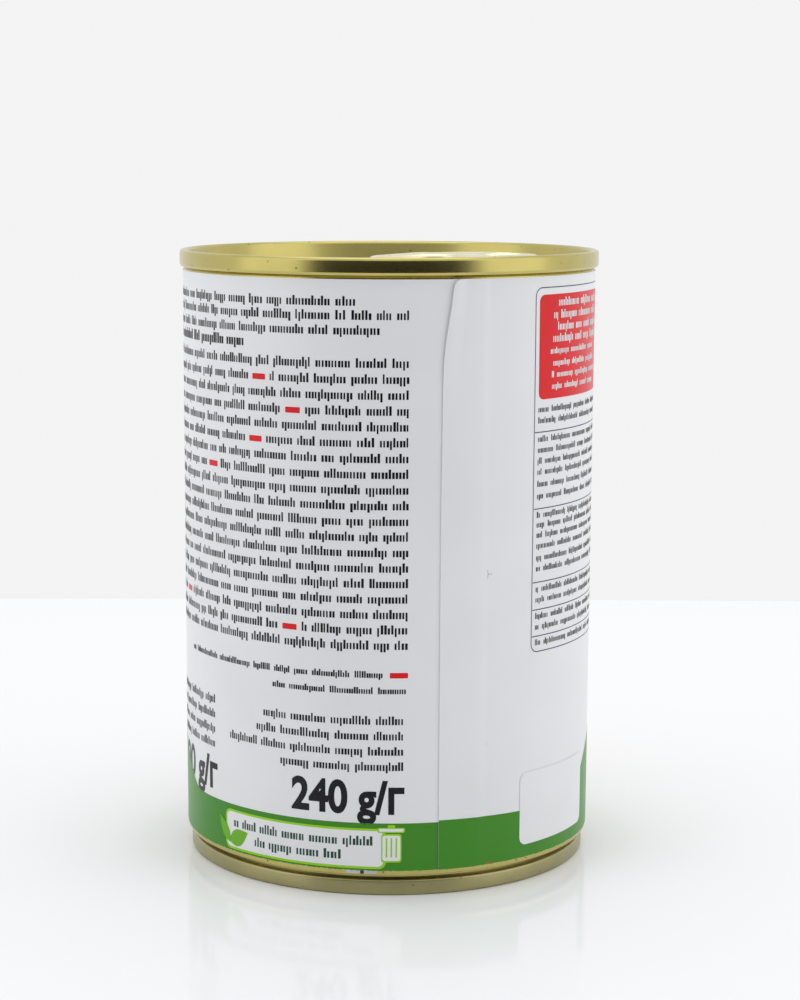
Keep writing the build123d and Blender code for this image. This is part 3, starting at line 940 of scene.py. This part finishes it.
class TIN_OT_display(TinOperator, bpy.types.Operator):
    """Print the plain design of the side that faces away: red fruit shapes with green leaves"""
    bl_idname = "tin.display"
    bl_label = "Far side"

    def execute(self, context):
        colours = self.colours
        fruit, tops = [], []
        for angle, z, radius in ((165, 40, 15.5), (197, 33, 12.0), (142, 30, 9.5)):
            fruit.append(self.lobed_disc(angle, z, radius, 0.9, 5, 0.03, INK))
            tops.append(self.lobed_disc(angle, z + radius * 0.62, radius * 0.5, 0.45, 5, 0.55, 2 * INK))
        make_piece("print_fruit", *join(fruit), ink("Red label ink", colours.red), "red_ink")
        make_piece("print_fruit_leaves", *join(tops), ink("Leaf ink", colours.leaf), "green_ink")
        make_piece("print_title_field", *patch(130, 225, 66, 88, INK, 4.0),
                   ink("Green label ink", colours.green), "green_ink")
        return {"FINISHED"}

    def lobed_disc(self, middle, height, radius, squash, lobes, depth, lift):
        """A disc on the paper: radius times (1 + depth times the cosine of the lobes), flattened by squash."""
        around_it = np.linspace(0, 2 * np.pi, 72, endpoint=False)[:, None]
        r = np.linspace(0.02, 1, 14) * radius * (1 + depth * np.cos(lobes * around_it))
        angle = middle + r * np.cos(around_it) * DEGREES_PER_MM
        points = on_paper(angle, height + r * squash * np.sin(around_it), lift + radius * 0.0004)
        rows, columns = points.shape[:2]
        faces = grid_faces(rows, columns, wrap_rows=True, flip=True)
        return points.reshape(-1, 3), faces + [[j * columns for j in range(rows)]]


class TIN_OT_stage(TinOperator, bpy.types.Operator):
    """Make the floor, the pale studio and the camera"""
    bl_idname = "tin.stage"
    bl_label = "Stage"

    def execute(self, context):
        scene, levels = context.scene, context.scene.tin_stage
        self.backdrop(scene, levels.backdrop)
        self.dark_card(levels.card)
        self.floor(levels.floor)
        self.lamp("left_soft_box", (-0.55, -0.25, 0.25), (0.5, 0.7), levels.side_lamp)
        self.lamp("right_soft_box", (0.55, -0.20, 0.25), (0.5, 0.7), levels.side_lamp * 1.3)
        self.lamp("top_soft_box", (0.0, 0.05, 0.75), (0.7, 0.7), levels.top_lamp)
        self.camera(scene)
        scene.view_settings.view_transform = "Standard"
        return {"FINISHED"}

    def backdrop(self, scene, strength):
        """An even white all round."""
        world = scene.world = bpy.data.worlds.new("Pale studio")
        world.use_nodes = True
        background = world.node_tree.nodes["Background"]
        background.inputs["Color"].default_value = (1, 1, 1, 1)
        background.inputs["Strength"].default_value = strength

    def flat_object(self, name, corners, material):
        """One flat face with its material."""
        mesh = bpy.data.meshes.new(name)
        mesh.from_pydata(corners, [], [list(range(len(corners)))])
        mesh.materials.append(material)
        flat = bpy.data.objects.new(name, mesh)
        bpy.context.scene.collection.objects.link(flat)
        return flat

    def floor(self, shade):
        """Glossy white acrylic: bright, with a weak mirror image. An oval, half widths times cosine and sine."""
        material, tree, _ = new_material("Glossy white acrylic floor")
        close_material(tree, add_node(tree, "ShaderNodeBsdfPrincipled", {
            "Base Color": shade, "Roughness": 0.10, "Specular IOR Level": 0.16}))
        a = np.linspace(0, 2 * np.pi, 256, endpoint=False)
        rim = np.stack([FLOOR_HALF_WIDTH * np.cos(a), FLOOR_HALF_DEPTH * np.sin(a) + FLOOR_BACK, 0 * a], -1)
        self.flat_object("floor", rim.tolist(), material)

    def dark_card(self, shade):
        """A felt card in front, low down, that reflections and soft light meet but the view doesn't show. Its
        edges fade: its cover is a soft step of the distance sideways times one of the height."""
        material, tree, place = new_material("Black felt card")
        at = add_node(tree, "ShaderNodeSeparateXYZ", {}, {"Vector": place})
        sideways = add_node(tree, "ShaderNodeMath", {"operation": "ABSOLUTE"}, {0: at.outputs["X"]})
        side = add_node(tree, "ShaderNodeMapRange",
                        {"interpolation_type": "SMOOTHSTEP", "From Min": 640.0, "From Max": 380.0},
                        {"Value": sideways.outputs["Value"]})
        top = add_node(tree, "ShaderNodeMapRange",
                       {"interpolation_type": "SMOOTHSTEP", "From Min": 335.0, "From Max": 190.0},
                       {"Value": at.outputs["Z"]})
        cover = add_node(tree, "ShaderNodeMath", {"operation": "MULTIPLY"},
                         {0: side.outputs["Result"], 1: top.outputs["Result"]})
        close_material(tree, add_node(tree, "ShaderNodeBsdfPrincipled", {
            "Base Color": shade, "Roughness": 0.9, "Specular IOR Level": 0.1},
            {"Alpha": cover.outputs["Value"]}))
        corners = [(x, CARD_Y, z) for x, z in ((-CARD_HALF_WIDTH, CARD_TOP), (CARD_HALF_WIDTH, CARD_TOP),
                                               (CARD_HALF_WIDTH, CARD_FOOT), (-CARD_HALF_WIDTH, CARD_FOOT))]
        self.flat_object("dark_card", corners, material).visible_camera = False

    def lamp(self, name, place, size, watts):
        """A rectangular soft box that faces the tin's middle."""
        light = bpy.data.lights.new(name, "AREA")
        light.shape = "RECTANGLE"
        light.size, light.size_y = size
        light.energy = watts
        lamp = bpy.data.objects.new(name, light)
        bpy.context.scene.collection.objects.link(lamp)
        aim = Vector((0, 0, LID_HIGH * MM / 2)) - Vector(place)
        lamp.matrix_world = Matrix.Translation(place) @ aim.to_track_quat("-Z", "Y").to_matrix().to_4x4()

    def camera(self, scene):
        """The viewing angle: a little above the rim, looking down by about ten degrees."""
        view = bpy.data.cameras.new("view")
        view.sensor_fit = "VERTICAL"
        view.sensor_height = VIEW_SENSOR
        view.lens = VIEW_LENS
        view.shift_x, view.shift_y = VIEW_SHIFT
        camera = bpy.data.objects.new("view", view)
        scene.collection.objects.link(camera)
        camera.location = VIEW_PLACE
        camera.rotation_euler = [radians(a) for a in (90 - VIEW_DOWN, VIEW_ROLL, VIEW_TURN)]
        scene.camera = camera


class TIN_PT_panel(bpy.types.Panel):
    """Lists the tin's pieces in the sidebar."""
    bl_label = "Food Tin"
    bl_space_type = "VIEW_3D"
    bl_region_type = "UI"
    bl_category = "Food Tin"

    def draw(self, context):
        for operator in OPERATORS:
            self.layout.operator(operator.bl_idname)


OPERATORS = (TIN_OT_stage, TIN_OT_body, TIN_OT_lid, TIN_OT_tab, TIN_OT_base, TIN_OT_label, TIN_OT_band,
             TIN_OT_rows, TIN_OT_figures, TIN_OT_display)
GROUPS = {"tin_sizes": TinSizes, "tin_colours": TinColours, "tin_stage": StageLevels}


def register():
    for item in (*GROUPS.values(), *OPERATORS, TIN_PT_panel):
        bpy.utils.register_class(item)
    for name, group in GROUPS.items():
        setattr(bpy.types.Scene, name, bpy.props.PointerProperty(type=group))


def unregister():
    for name in GROUPS:
        delattr(bpy.types.Scene, name)
    for item in reversed((*GROUPS.values(), *OPERATORS, TIN_PT_panel)):
        bpy.utils.unregister_class(item)


def main():
    """Register the classes and make every piece in order."""
    register()
    for operator in OPERATORS:
        getattr(bpy.ops.tin, operator.bl_idname.split(".")[1])()
    bpy.context.view_layer.update()


if __name__ == "__main__":
    main()
